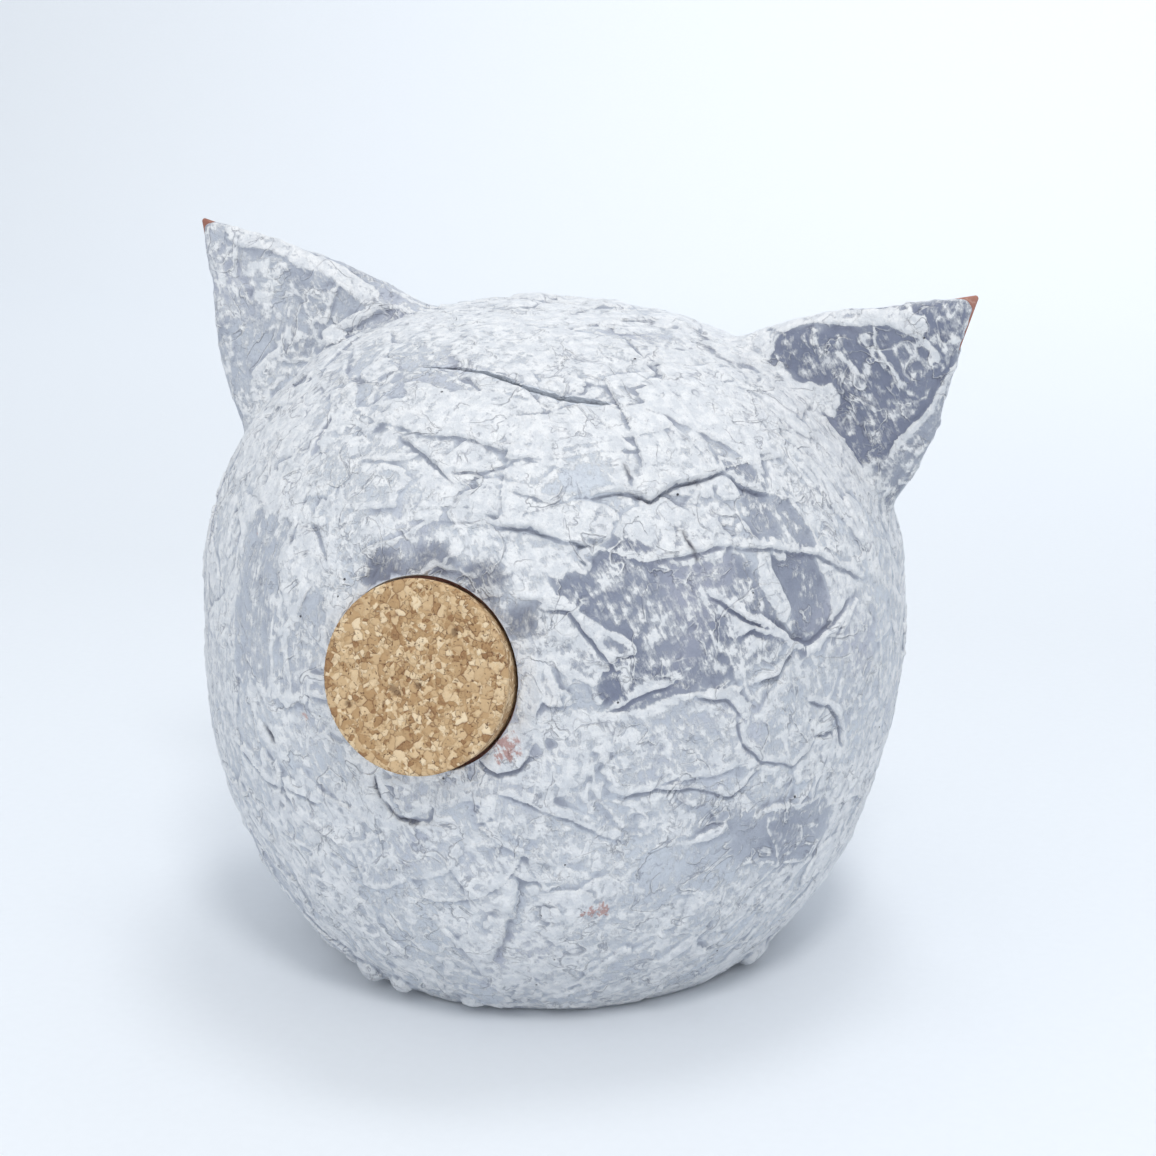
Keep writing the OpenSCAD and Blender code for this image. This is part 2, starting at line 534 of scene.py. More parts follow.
    def blob(self, side, up, r, height=0.0, white=None, tone=None, bare=0.0, soot=0.0,
             flatten=0.0):
        """A soft round spot of height or paint."""
        at, out = on_head(side, up)
        index, gap = self.near(at, out, 1.6 * r)
        wobble = 1 + 0.25 * value_noise(self.points[index], 0.6 * r, int(side * 7 + up) % 97)
        mark = np.clip(1.5 - np.linalg.norm(gap, axis=1) / (r * wobble), 0, 1)
        mark = mark * mark * (3 - 2 * mark)
        self.height[index] += (height - flatten * self.height[index]) * mark
        self.paint(index, mark, white=white, tone=tone)
        if bare:
            self.bare[index] = np.maximum(self.bare[index], bare * mark)
        if soot:
            self.soot[index] = np.maximum(self.soot[index], soot * mark)


def lay_zones(relief):
    """Broad changes of paint: a white crown, grey sides and a darker front on the right
    ear."""
    head, up, over = off_head(relief.points)
    crown = np.clip((up - 22) / 14, 0, 1)
    low = np.clip((-up - 28) / 18, 0, 1)
    relief.white[:] = 0.55 + 0.16 * crown + 0.05 * low
    relief.tone[:] = 0.17 - 0.07 * crown - 0.03 * low
    relief.white += 0.10 * value_noise(relief.points, 26, 11)
    relief.tone += 0.13 * value_noise(relief.points, 21, 12)
    relief.run[:] = np.clip(0.5 + 0.8 * value_noise(relief.points, 30, 13), 0, 1)
    relief.height += 0.45 * value_noise(relief.points, 17, 14)
    ear = np.clip((over - 1) / 4, 0, 1)
    left = ear * (head[:, 0] < 0)
    right = ear * (head[:, 0] > 0)
    front = np.clip(-1.6 * relief.normals[:, 1] - 0.3, 0, 1)
    for part, white, tone in ((left, 0.44, 0.42), (right, 0.44, 0.4),
                              (right * front, 0.38, 1.05)):
        relief.white += part * (white - relief.white)
        relief.tone += part * (tone - relief.tone)


def lay_random_strokes(relief):
    """Strokes all over the head, in the directions that a hand turning the head gives."""
    rng = relief.rng
    head, up, over = off_head(relief.points)
    side = np.degrees(np.arctan2(head[:, 0], -head[:, 1]))
    ground = np.nonzero((over < 1.0) & (relief.points[:, 2] > 3))[0]
    for _ in range(STROKES):
        k = ground[rng.integers(len(ground))]
        rise = up[k]
        if rise > 38:
            turn = rng.normal(-12, 28)
        elif rise > -25:
            turn = rng.choice([-62, 78, 15, -25]) + rng.normal(0, 18)
        else:
            turn = (55 if side[k] > 15 else -62) + rng.normal(0, 22)
        big = rng.uniform() < 0.35
        length = rng.uniform(22, 46) if big else rng.uniform(9, 24)
        width = rng.uniform(9, 17) if big else rng.uniform(5, 11)
        relief.stroke(relief.points[k], relief.normals[k], turn, length, width,
                      lift=rng.uniform(-0.12, 0.38), lip=rng.uniform(0.1, 0.75),
                      ragged=rng.uniform(0.6, 1.5), hold=rng.uniform(0.5, 0.95),
                      white=relief.white[k] + rng.normal(0, 0.13),
                      tone=relief.tone[k] + rng.normal(0, 0.1),
                      run=rng.uniform())
    ears = np.nonzero(over > 3)[0]
    for _ in range(EAR_STROKES):
        k = ears[rng.integers(len(ears))]
        relief.stroke(relief.points[k], relief.normals[k], rng.uniform(0, 180),
                      rng.uniform(9, 22), rng.uniform(5, 9), lift=rng.uniform(-0.1, 0.15),
                      lip=rng.uniform(0.1, 0.45), hold=0.7,
                      white=relief.white[k] + rng.normal(0, 0.08),
                      tone=relief.tone[k] + rng.normal(0, 0.08), run=rng.uniform())


def lay_main_strokes(relief):
    """The strokes and lips that stand out on the bung side."""
    def patch(side, up, turn, length, width, **more):
        at, out = on_head(side, up)
        relief.stroke(at, out, turn, length, width, **more)

    line = relief.line
    crack = relief.crack
    blob = relief.blob

    # smooth scraped flats
    patch(-33, 9, 84, 46, 20, lift=-0.1, lip=0.3, white=0.36, tone=0.42, run=0.9, hold=0.95)
    patch(-22, 4, 80, 30, 14, lift=0.1, lip=0.4, white=0.48, tone=0.35, run=0.9)
    patch(-44, -12, 75, 40, 18, lift=0.0, lip=0.3, white=0.54, tone=0.2, run=0.9)
    patch(-14, 47, -12, 26, 12, lift=0.0, lip=0.25, white=0.35, tone=0.3, hold=0.95)
    patch(-30, 55, -30, 24, 12, lift=0.0, lip=0.25, white=0.4, tone=0.3, hold=0.95)
    patch(33, 14, -62, 44, 34, lift=-0.35, lip=0.3, white=0.4, tone=0.88, run=0.05, hold=0.95)
    patch(46, 15, -62, 30, 18, lift=-0.2, lip=0.2, white=0.45, tone=0.8, run=0.05)
    patch(59, 16, -82, 26, 15, lift=-0.4, lip=0.3, white=0.24, tone=0.85, run=1, hold=0.98)
    patch(52, 31, -78, 22, 9, lift=-0.2, lip=0.4, white=0.33, tone=0.7, run=1)
    patch(60, 27, -80, 16, 7, lift=-0.2, lip=0.4, white=0.35, tone=0.6, run=1)
    patch(22, 12, -40, 22, 14, lift=0.1, white=0.55, tone=0.6)
    patch(38, -3, 4, 36, 22, white=0.5, tone=0.22, run=0.3, hold=0.95)
    patch(57, -2, 60, 30, 20, lift=0.1, lip=0.45, white=0.48, tone=0.2, hold=0.9)
    patch(42, -24, 10, 26, 17, lift=-0.1, lip=0.3, white=0.3, tone=0.24, hold=0.98)
    patch(20, -17, -20, 34, 16, lift=0.1, lip=0.4, white=0.47, tone=0.18, hold=0.9)
    patch(-3, -24, 20, 30, 14, lift=0.0, lip=0.4, white=0.5, tone=0.22)
    patch(72, 3, 80, 30, 14, lift=0.0, lip=0.4, white=0.42, tone=0.3)
    # slanting strokes between the slit and the right ear
    for side, up, turn, length in ((60, 40, -52, 30), (66, 36, -58, 26), (72, 30, -66, 26),
                                   (57, 52, -48, 24), (70, 46, -60, 26), (78, 22, -75, 24)):
        patch(side, up, turn, length, 6, lift=0.25, lip=0.6, white=0.72, tone=0.15, run=0.05)
    # the crown's plates
    patch(12, 62, -8, 50, 26, lip=0.4, white=0.68, tone=0.12, hold=0.95)
    patch(-2, 44, -14, 44, 15, lift=0.35, lip=0.45, white=0.72, tone=0.1, hold=0.95)
    patch(22, 43, 8, 40, 9, lift=0.4, white=0.72, tone=0.1)
    patch(53, 47, -50, 34, 24, lift=0.5, white=0.86, tone=0.05, hold=0.95)
    patch(36, 28, -30, 20, 13, white=0.75, tone=0.2)
    patch(15, 30, -18, 34, 9, lift=0.3, white=0.72, tone=0.12)

    # lips and ridges, upper left to lower right, many with painted shadow at their foot
    line([(-13, 38), (-6, 36), (-1, 33)], crest=0.22, step=0.5, soot=0.3)
    line([(-1, 34), (5, 35), (11, 37)], crest=0.29, soot=0.35)
    line([(11, 37), (21, 40), (33, 42)], crest=0.32, groove=0.35, soot=0.3)
    line([(9, 36), (20, 38), (34, 40)], crest=0.29, soot=0.2)
    line([(9, 32), (17, 31), (22, 32)], crest=0.29, step=0.3, soot=0.4)
    line([(23, 32), (27, 33), (30, 33)], crest=0.36, step=0.9, groove=0.8, soot=1)
    line([(30, 33), (33, 32), (37, 34), (42, 35), (48, 36)], crest=0.36, step=1.2, groove=0.9,
         soot=1.1, white=1)
    line([(48, 36), (51, 33), (55, 32)], crest=0.36, step=0.6, groove=0.5, soot=0.7)
    line([(9, 27), (14, 27), (18, 26), (23, 25)], crest=0.43, step=0.7, groove=0.5, soot=0.6,
         white=1)
    line([(32, 23), (38, 24), (45, 25), (53, 24), (63, 22), (73, 17)], crest=0.72, width=0.8,
         soot=0.4, white=1)
    line([(42, 18), (47, 15), (51, 13)], crest=0.65, groove=0.5, soot=0.4, white=1)
    line([(51, 14), (56, 10), (60, 9), (65, 11), (70, 14)], crest=0.79, width=0.9, groove=0.5,
         soot=0.5, white=1, upper=False)
    line([(17, 16), (21, 16), (25, 11), (28, 8)], crest=0.43, groove=0.4, white=0.9)
    line([(50, 5), (53, 6), (56, 9)], crest=0.86, width=1.0, groove=0.6, soot=0.5, white=1)
    line([(46, 12), (49, 13), (51, 12)], crest=0.65, width=1.0, groove=0.4, soot=0.4)
    line([(60, 1), (65, -1), (68, -4), (70, -9)], crest=0.58, groove=0.5, soot=0.3)
    line([(62, -6), (66, -6), (65, -12), (64, -16)], groove=0.4)
    line([(47, 0), (48, -4), (52, -7), (58, -9), (62, -6)], groove=0.4, soot=0.2)
    line([(40, 4), (45, 3), (48, 0)], crest=0.65, groove=0.4, soot=0.3, white=1)
    line([(30, -11), (35, -10), (40, -10), (47, -12), (51, -9)], crest=0.43, groove=0.4,
         soot=0.2)
    line([(12, -11), (21, -14), (30, -18)], crest=0.32, groove=0.2)
    line([(27, 2), (31, 4), (36, 6)], crest=0.36, white=0.9)
    line([(44, 57), (56, 58), (69, 57)], crest=0.29, step=-0.4, groove=0.2, soot=0.3)
    line([(45, 70), (44, 62), (44, 57)], crest=0.29, soot=0.2)
    line([(37, 53), (41, 55), (44, 57)], crest=0.29, soot=0.3)
    line([(15, -24), (14, -31), (10, -42)], crest=0.94, width=2.6)
    line([(21, -25), (17, -25), (15, -24)], crest=0.58, width=1.2)
    line([(4, -22), (7, -27), (9, -33)], crest=0.36, width=0.8, groove=0)
    line([(42, -50), (52, -41), (60, -33)], width=1.0, groove=0)
    line([(34, -50), (44, -42), (50, -36)], crest=0.43, width=1.0, groove=0)
    line([(-42, -15), (-30, -19), (-18, -19)], crest=0.36, soot=0.2)
    line([(-18, 18), (-24, 5), (-22, -6)], crest=0.36, width=0.9, white=0.9, groove=0)
    # the loose flap under the cork
    line([(9, -6), (12, -8), (15, -7), (16, -5)], width=0.9, step=0.6, groove=0.6, soot=0.9)
    blob(13, -4, 5.5, height=1.1, bare=0.95, white=0.9)
    blob(17, -1, 4, height=0.5, white=1)
    # cracks
    # cracks, with painted shade in them
    crack([(-7, -12), (-7, -14), (-5, -16)], 0.25, 0.8, 0.55)
    crack([(-5, -16), (-3, -18), (0, -18)], 0.4, 1.1, 0.9)
    line([(0, -18), (2, -18), (3, -15)], crest=0.3, step=0.3, soot=0.4, upper=False)
    crack([(29, 37), (30, 35)], 0.4, 0.8)
    crack([(38, 27), (40, 23)], 0.5, 0.9, 0.9)
    crack([(-29, -10), (-27, -12)], 0.5, 0.7, 0.9)
    # bumps that show on the outline
    for side, up, r, rise in ((-119, 79, 6, 1.6), (-75, 80, 5, 1.1), (150, 82, 6, 1.3),
                              (95, 72, 6, 1.2), (84, 59, 5, 1.6), (-80, 12, 6, 1.0),
                              (-78, -6, 7, 1.0), (108, 2, 6, 1.2), (106, -14, 6, 1.1),
                              (102, -32, 6, 1.2), (-70, -28, 5, 1.0), (-60, 30, 6, 0.9)):
        blob(side, up, r, height=rise)
    # drips and a flap on the foot's rim
    for side, up, r, rise in ((-23, -54, 3.2, 2.4), (-13, -54, 2.6, 2.0), (77, -50, 4, 1.6),
                              (5, -54, 2.5, 1.4), (150, -53, 3, 2.2),
                              (-110, -53, 3, 2.2), (-60, -53, 3, 1.6)):
        blob(side, up, r, height=rise, white=0.8)
    line([(2, -54), (14, -54), (26, -53), (38, -52)], white=1)
    # spots
    blob(21, -31, 2.4, height=1.1, white=1.2, flatten=0.5)
    blob(28, -30, 4.5, bare=1.0)
    blob(-36, 18, 1.6, bare=0.9)
    blob(-20, -6, 2.5, bare=0.8)
    blob(27, 5, 3.4, tone=0.9, white=0.3, height=-0.3)
    for side, up, r in ((-8, 18, 6), (0, 20, 6), (8, 19, 7), (14, 14, 5)):
        blob(side, up, r, tone=0.75, white=0.42, soot=0.5, height=-0.2)


def lay_ear_strokes(relief):
    """The strokes that stand out on the bung side of the ears."""
    def patch(side, inner, outer, turn, length, width, **more):
        at, out = relief.ear_place(side, inner, outer)
        relief.stroke(at, out, turn, length, width, **more)

    # right ear: dark scraped face under a thick pale band along its upper edge
    patch(1, 0.35, 0.35, -55, 36, 22, lift=-0.3, lip=0.25, white=0.39, tone=1.1, run=0.1,
          hold=0.95)
    patch(1, 0.20, 0.15, -60, 18, 12, lift=-0.1, lip=0.35, white=0.42, tone=0.9, run=0.1)
    patch(1, 0.50, -0.06, 8, 44, 5, lift=0.5, lip=0.35, white=0.68, tone=0.35)
    patch(1, 0.92, 0.06, 10, 18, 12, lip=0.4, white=0.78, tone=0.15)
    patch(1, 0.70, 0.36, -50, 34, 6, lift=0.3, lip=0.45, white=0.68, tone=0.2)
    patch(1, -0.02, 0.58, 64, 40, 6, lift=0.1, white=0.46, tone=0.55)
    patch(1, 0.38, 0.22, -40, 10, 1.2, lift=0.3, lip=0.4, white=0.75)
    # left ear: pale, smooth, a bright upper edge and a hollow near the head
    patch(-1, 0.30, 0.40, -70, 34, 18, lift=-0.2, lip=0.3, white=0.46, tone=0.36, hold=0.95)
    patch(-1, 0.48, -0.04, -28, 48, 5, lift=0.4, lip=0.3, white=0.66, tone=0.2)
    patch(-1, 0.72, 0.22, 40, 18, 9, lift=-0.8, lip=0.3, white=0.42, tone=0.5)
    patch(-1, 0.25, 0.55, 30, 16, 8, white=0.5, tone=0.3)
    patch(-1, 0.60, 0.40, 45, 36, 5, lift=-0.4, lip=0.4, white=0.45, tone=0.55)


def blurred(values, edges, rounds):
    """Values averaged with their neighbours along the mesh's edges."""
    count = len(values)
    a, b = edges[:, 0], edges[:, 1]
    share = np.bincount(a, minlength=count) + np.bincount(b, minlength=count)
    for _ in range(rounds):
        total = (np.bincount(a, values[b], count) + np.bincount(b, values[a], count))
        values = 0.5 * values + 0.5 * total / np.maximum(share, 1)
    return values


# ---------------------------------------------------------------- materials

class Value:
    """A shader socket that +, - and * work on."""

    def __init__(self, finish, socket):
        self.finish = finish
        self.socket = socket

    def _math(self, operation, *values):
        return self.finish.add("ShaderNodeMath", {"operation": operation},
                               dict(enumerate(values)))

    def __add__(self, other):
        return self._math("ADD", self, other)

    __radd__ = __add__

    def __sub__(self, other):
        return self._math("SUBTRACT", self, other)

    def __rsub__(self, other):
        return self._math("SUBTRACT", other, self)

    def __mul__(self, other):
        return self._math("MULTIPLY", self, other)

    __rmul__ = __mul__

    def over(self, low, high):
        """0 below low and 1 above high, with a smooth step between."""
        return self.finish.add("ShaderNodeMapRange", {"interpolation_type": "SMOOTHSTEP"},
                               {0: self, 1: low, 2: high, 3: 0.0, 4: 1.0})

    def at_least(self, other):
        return self._math("MAXIMUM", self, other)


class Finish:
    """A material whose nodes are added one at a time."""

    def __init__(self, name):
        self.material = bpy.data.materials.new(name)
        self.material.use_nodes = True
        self.tree = self.material.node_tree
        self.tree.nodes.clear()
        self.place = self.add("ShaderNodeTexCoord", out="Object")

    def add(self, kind, settings=(), values=(), out=0):
        node = self.tree.nodes.new(kind)
        for key, value in dict(settings).items():
            if key == "stops":
                ramp = node.color_ramp
                while len(ramp.elements) < len(value):
                    ramp.elements.new(0.5)
                for element, (position, colour) in zip(ramp.elements, value):
                    element.position = position
                    element.color = colour
            else:
                setattr(node, key, value)
        for key, value in dict(values).items():
            if isinstance(value, Value):
                self.tree.links.new(value.socket, node.inputs[key])
            else:
                node.inputs[key].default_value = value
        return Value(self, node.outputs[out])

    def attribute(self, name):
        return self.add("ShaderNodeAttribute", {"attribute_name": name}, out="Fac")

    def noise(self, size_mm, detail=2.0, rough=0.5, distortion=0.0):
        return self.add("ShaderNodeTexNoise", {}, {
            "Vector": self.place, "Scale": 1 / (size_mm * MM), "Detail": detail,
            "Roughness": rough, "Distortion": distortion})

    def streaks(self, angle, long_mm, short_mm):
        """Noise drawn out along a direction that is angle degrees above +X."""
        drawn = self.add("ShaderNodeMapping", {"vector_type": "TEXTURE"}, {
            "Vector": self.place, "Rotation": (0, math.radians(-angle), 0),
            "Scale": (long_mm * MM, short_mm * MM, short_mm * MM)})
        return self.add("ShaderNodeTexNoise", {}, {
            "Vector": drawn, "Scale": 1.0, "Detail": 4.0, "Roughness": 0.65})

    def cells(self, size_mm, feature="F1", out="Distance", vector=None):
        return self.add("ShaderNodeTexVoronoi", {"feature": feature}, {
            "Vector": vector or self.place, "Scale": 1 / (size_mm * MM)}, out)

    def mix(self, share, first, second):
        """The first colour, with a share of the second."""
        return self.add("ShaderNodeMix", {"data_type": "RGBA"},
                        {0: share, 6: first, 7: second}, 2)

    def layers(self, size_mm, distortion):
        """Thin layers that lap over each other: their height, the painted shadow line at
        their foot and the pale line along their edge, partly white paint caught by the
        brush and partly a painted highlight."""
        form = self.noise(size_mm, 4.0, 0.5, distortion)
        height = form.over(0.492, 0.508)
        foot = 1.0 - self.apart(form, 0.487).over(0.0, 0.012)
        brow = 1.0 - self.apart(form, 0.516).over(0.0, 0.018)
        return height, foot, brow

    def apart(self, first, second):
        return self.add("ShaderNodeMath", {"operation": "ABSOLUTE"}, {0: first - second})

    def bump(self, height, distance_mm, strength=1.0):
        return self.add("ShaderNodeBump", {}, {
            "Height": height, "Distance": distance_mm * MM, "Strength": strength})

    def surface(self, **values):
        shader = self.add("ShaderNodeBsdfPrincipled", {},
                          {key.replace("_", " "): value for key, value in values.items()})
        end = self.tree.nodes.new("ShaderNodeOutputMaterial")
        self.tree.links.new(shader.socket, end.inputs["Surface"])
        return self.material


def colour(red, green, blue):
    """A colour given as it looks, from 0 to 255, made linear."""
    def linear(c):
        c = c / 255
        return c / 12.92 if c <= 0.04045 else ((c + 0.055) / 1.055) ** 2.4
    return (linear(red), linear(green), linear(blue), 1.0)


def painted_plaster():
    """Blue-grey paint over plaster, dry-brushed with white on all that stands up, with
    painted shade in its hollows, cracks and pinholes, painted shadow at the foot of lips
    and layers, painted highlights along layer edges, and dark smudges of paint.
    """
    f = Finish("painted_plaster")
    white, tone, run = f.attribute("white"), f.attribute("tone"), f.attribute("run")
    # the last attribute holds painted shadow at lip feet and in cracks, and dark smudges of
    # paint
    crest, bare, soot = f.attribute("crest"), f.attribute("bare"), f.attribute("soot")

    slanting = f.streaks(-62, 5.5, 1.1)
    upright = f.streaks(82, 7.0, 0.9)
    brushed = slanting + run.over(0.35, 0.65) * (upright - slanting)
    grainy = f.noise(1.5, 5.0, 0.68)
    patchy = f.noise(9.0, 3.0, 0.55, distortion=0.6)
    cover = white + 0.95 * (brushed - 0.5) + 0.5 * (grainy - 0.5) + 0.75 * (patchy - 0.5)
    cover = cover + 0.5 * crest
    wide, wide_foot, wide_brow = f.layers(13.0, 0.9)
    tight, tight_foot, tight_brow = f.layers(5.5, 0.7)
    broken = f.noise(8.0, 2.0).over(0.42, 0.58)
    elsewhere = f.noise(11.0, 2.0).over(0.48, 0.62)
    # painted shadow at the layers' feet, and pale edges that are part paint and part painted
    # highlight
    foot = (wide_foot * broken).at_least(tight_foot * elsewhere * 0.45)
    brow = (wide_brow * broken).at_least(tight_brow * elsewhere * 0.6)
    grit = f.noise(2.4, 8.0, 0.72)
    cover = cover + 0.22 * brow + 0.5 * (grit - 0.5)
    top_coat = cover.over(0.47, 0.56)
    thin_coat = 0.55 * cover.over(0.30, 0.52)
    painted = top_coat.at_least(thin_coat)

    pale = colour(214, 220, 229)
    deep = colour(129, 136, 157)
    mottled = (tone + 0.5 * (f.noise(14.0, 4.0, 0.6) - 0.5)).over(0.0, 1.0)
    ground = f.mix(mottled, pale, deep)
    ground = f.mix(f.noise(30.0, 2.0).over(0.5, 0.75) * 0.5, ground, colour(188, 190, 206))
    snow = f.mix(f.noise(3.0, 5.0, 0.65).over(0.40, 0.62), colour(224, 227, 232),
                 colour(244, 245, 247))
    coat = f.mix(painted, ground, snow)

    # painted shade in hollows, where the surface sits below its surroundings
    shade = (0.0 - crest).over(0.1, 1.3) * 0.6
    coat = f.mix(shade, coat, colour(116, 121, 142))
    # painted shadow along the layers' feet
    coat = f.mix(foot * 0.5, coat, colour(112, 116, 136))
    # painted highlight along the layers' edges
    coat = f.mix(brow * 0.45, coat, colour(248, 249, 250))
    # painted shade in the low spots of the fine grit
    coat = f.mix((1.0 - grit.over(0.30, 0.43)) * 0.5, coat, colour(128, 132, 150))
    stipple = grainy.over(0.60, 0.69) * crest.over(-0.6, 0.0) * 0.42
    coat = f.mix(stipple * (1.0 - top_coat * 0.5), coat, colour(120, 122, 138))
    flecked = brushed + 1.1 * (grit - 0.5) + 0.5 * (grainy - 0.5)
    clay_show = (bare * flecked).over(0.38, 0.54)
    coat = f.mix(clay_show * 0.75, coat, colour(180, 122, 112))
    # painted shadow at lip feet and in cracks, and dark smudges of paint
    shadow_and_smudge_mask = soot * (0.45 + brushed + 0.6 * (grit - 0.5))
    coat = f.mix(shadow_and_smudge_mask.over(0.12, 1.0) * 0.85, coat, colour(72, 69, 80))

    # pinholes, darkened with painted shade
    pin = f.add("ShaderNodeSeparateColor", {}, {0: f.cells(7.0, out="Color")})
    hole = 1.0 - (f.cells(7.0) + 0.05 * (1.0 - pin)).over(0.035, 0.06)
    hole = hole * pin.over(0.45, 0.5)
    coat = f.mix(hole * 0.9, coat, colour(48, 48, 62))

    relief = 0.55 * brushed + 0.6 * grainy + 0.25 * painted - 1.2 * hole
    relief = relief + 0.9 * grit + 0.7 * wide * broken + 0.45 * tight * elsewhere
    fine = f.noise(0.45, 3.0, 0.6)
    rough = 0.42 + 0.18 * (1.0 - painted) + 0.2 * (grainy - 0.5)
    normal = f.bump(relief + 0.25 * fine, 0.7)
    return f.surface(Base_Color=coat, Roughness=rough, Normal=normal)


def fired_clay():
    """Bare reddish clay with plaster dust in its pores."""
    f = Finish("fired_clay")
    grain = f.noise(1.2, 5.0, 0.65)
    cloud = f.noise(12.0, 3.0)
    body = f.mix(cloud.over(0.3, 0.7), colour(172, 122, 108), colour(150, 100, 86))
    body = f.mix(grain.over(0.55, 0.7) * 0.5, body, colour(206, 170, 156))
    pores = 1.0 - f.cells(1.6).over(0.05, 0.25)
    body = f.mix(pores * 0.4, body, colour(104, 62, 50))
    normal = f.bump(grain - 0.5 * pores, 0.25, 0.7)
    return f.surface(Base_Color=body, Roughness=0.8 + 0.1 * grain, Normal=normal)


def pressed_cork():
    """Cork granules of 1 to 4 mm pressed together, each with its own tan, dark in the
    gaps."""
    f = Finish("pressed_cork")
    wander = f.add("ShaderNodeTexNoise", {}, {"Vector": f.place, "Scale": 1 / (2.2 * MM),
                                              "Detail": 3.0}, "Color")
    shift = f.add("ShaderNodeVectorMath", {"operation": "MULTIPLY_ADD"},
                  {0: wander, 1: (1.5 * MM,) * 3, 2: f.place})
    big = f.cells(2.7, out="Color", vector=shift)
    small = f.cells(1.25, out="Color", vector=shift)
    big_edge = f.cells(2.7, "DISTANCE_TO_EDGE", vector=shift)
    small_edge = f.cells(1.25, "DISTANCE_TO_EDGE", vector=shift)
    shade_big = f.add("ShaderNodeSeparateColor", {}, {0: big})
    shade_small = f.add("ShaderNodeSeparateColor", {}, {0: small})
    pick = f.noise(3.5, 2.0).over(0.46, 0.54)
    shade = shade_big + pick * (shade_small - shade_big)
    edge = big_edge + pick * (small_edge - big_edge)
    grain = f.noise(0.5, 4.0, 0.7)
    tan = f.add("ShaderNodeValToRGB", {"stops": [
        (0.0, colour(148, 110, 74)), (0.12, colour(176, 140, 98)),
        (0.45, colour(199, 167, 126)), (0.75, colour(217, 188, 148)),
        (1.0, colour(236, 214, 180))]}, {0: shade + 0.35 * (grain - 0.5)})
    gap = 1.0 - edge.over(0.0, 0.09)
    fleck = f.noise(0.9, 3.0, 0.6).over(0.61, 0.67)
    tan = f.mix(gap * f.noise(2.5, 2.0).over(0.35, 0.65) * 0.75, tan, colour(112, 72, 40))
    tan = f.mix(fleck * 0.75, tan, colour(92, 56, 30))
    # painted shade in the pits left by lost granules
    tan = f.mix(f.attribute("pit") * 0.7, tan, colour(74, 44, 24))
    height = edge.over(0.0, 0.2) + 0.4 * shade + 0.3 * grain - 0.8 * fleck
    normal = f.bump(height, 0.22, 0.7)
    return f.surface(Base_Color=tan, Roughness=0.72 + 0.12 * grain, Normal=normal)


def pale_sweep():
    """The floor and backdrop: smooth pale card."""
    f = Finish("pale_sweep")
    tooth = f.noise(3.0, 2.0)
    card = f.mix(tooth, colour(231, 235, 240), colour(234, 238, 243))
    return f.surface(Base_Color=card, Roughness=0.85, Normal=f.bump(tooth, 0.05, 0.2))


# ---------------------------------------------------------------- pieces

def slit_tool():
    """A curved blade that cuts the coin slit through the plaster, thin at its left end."""
    corners = []
    for side, up, half in SLIT:
        at, out = on_head(side, up)
        across = heading(out, SLIT_TURN)[1]
        for depth, part in ((SLIT_TOP, 1.3), (-0.6, 1.0), (SLIT_FLOOR, 1.0)):
            corners.append((at + depth * out + half * part * across) * MM)
            corners.append((at + depth * out - half * part * across) * MM)
    faces = []
    ring = (0, 2, 4, 5, 3, 1)
    for k in range(len(SLIT) - 1):
        for a, b in zip(ring, ring[1:] + ring[:1]):
            faces.append((6 * k + a, 6 * k + b, 6 * k + 6 + b, 6 * k + 6 + a))
    faces.append(tuple(reversed(ring)))
    faces.append(tuple(6 * (len(SLIT) - 1) + a for a in ring))
    mesh = bpy.data.meshes.new("slit_tool")
    mesh.from_pydata([tuple(c) for c in corners], [], faces)
    piece = bpy.data.objects.new("slit_tool", mesh)
    bpy.context.collection.objects.link(piece)
    select_only(piece)
    mode("EDIT")
    bpy.ops.mesh.select_all(action="SELECT")
    bpy.ops.mesh.normals_make_consistent(inside=False)
    mode("OBJECT")
    return piece


def ground_tool():
    """The ground under the coat, uneven on top so that the coat's lower edge is ragged."""
    deselect()
    bpy.ops.mesh.primitive_grid_add(x_subdivisions=90, y_subdivisions=90, size=0.3)
    piece = made()
    points = points_of(piece)
    points[:, 2] = 0.85 + 0.6 * value_noise(points, 11, 40) + 0.25 * value_noise(points, 5, 41)
    put_points(piece, points)
    finish_with(piece, "SOLIDIFY", thickness=40 * MM, offset=-1)
    return piece


def soften_roots(piece):
    """Fills the corner where each ear leaves the head with a rounded fillet: the root is
    what stands a little over the head, and the skin near it is smoothed."""
    points = points_of(piece)
    head, _, over = off_head(points)
    roots = np.nonzero((over > 0.8) & (over < 3.2) & (head[:, 2] > 20))[0]
    tree = KDTree(len(roots))
    for k in roots:
        tree.insert(points[k], int(k))
    tree.balance()
    group = piece.vertex_groups.new(name="root")
    for k in np.nonzero((over < 9) & (head[:, 2] > 15))[0]:
        gap = tree.find(points[k])[2]
        if gap < ROOT_NEAR:
            share = min(1.0, 1.6 * (1 - gap / ROOT_NEAR))
            group.add([int(k)], share, "REPLACE")
    finish_with(piece, "SMOOTH", factor=0.5, iterations=22, vertex_group="root")
    piece.vertex_groups.clear()


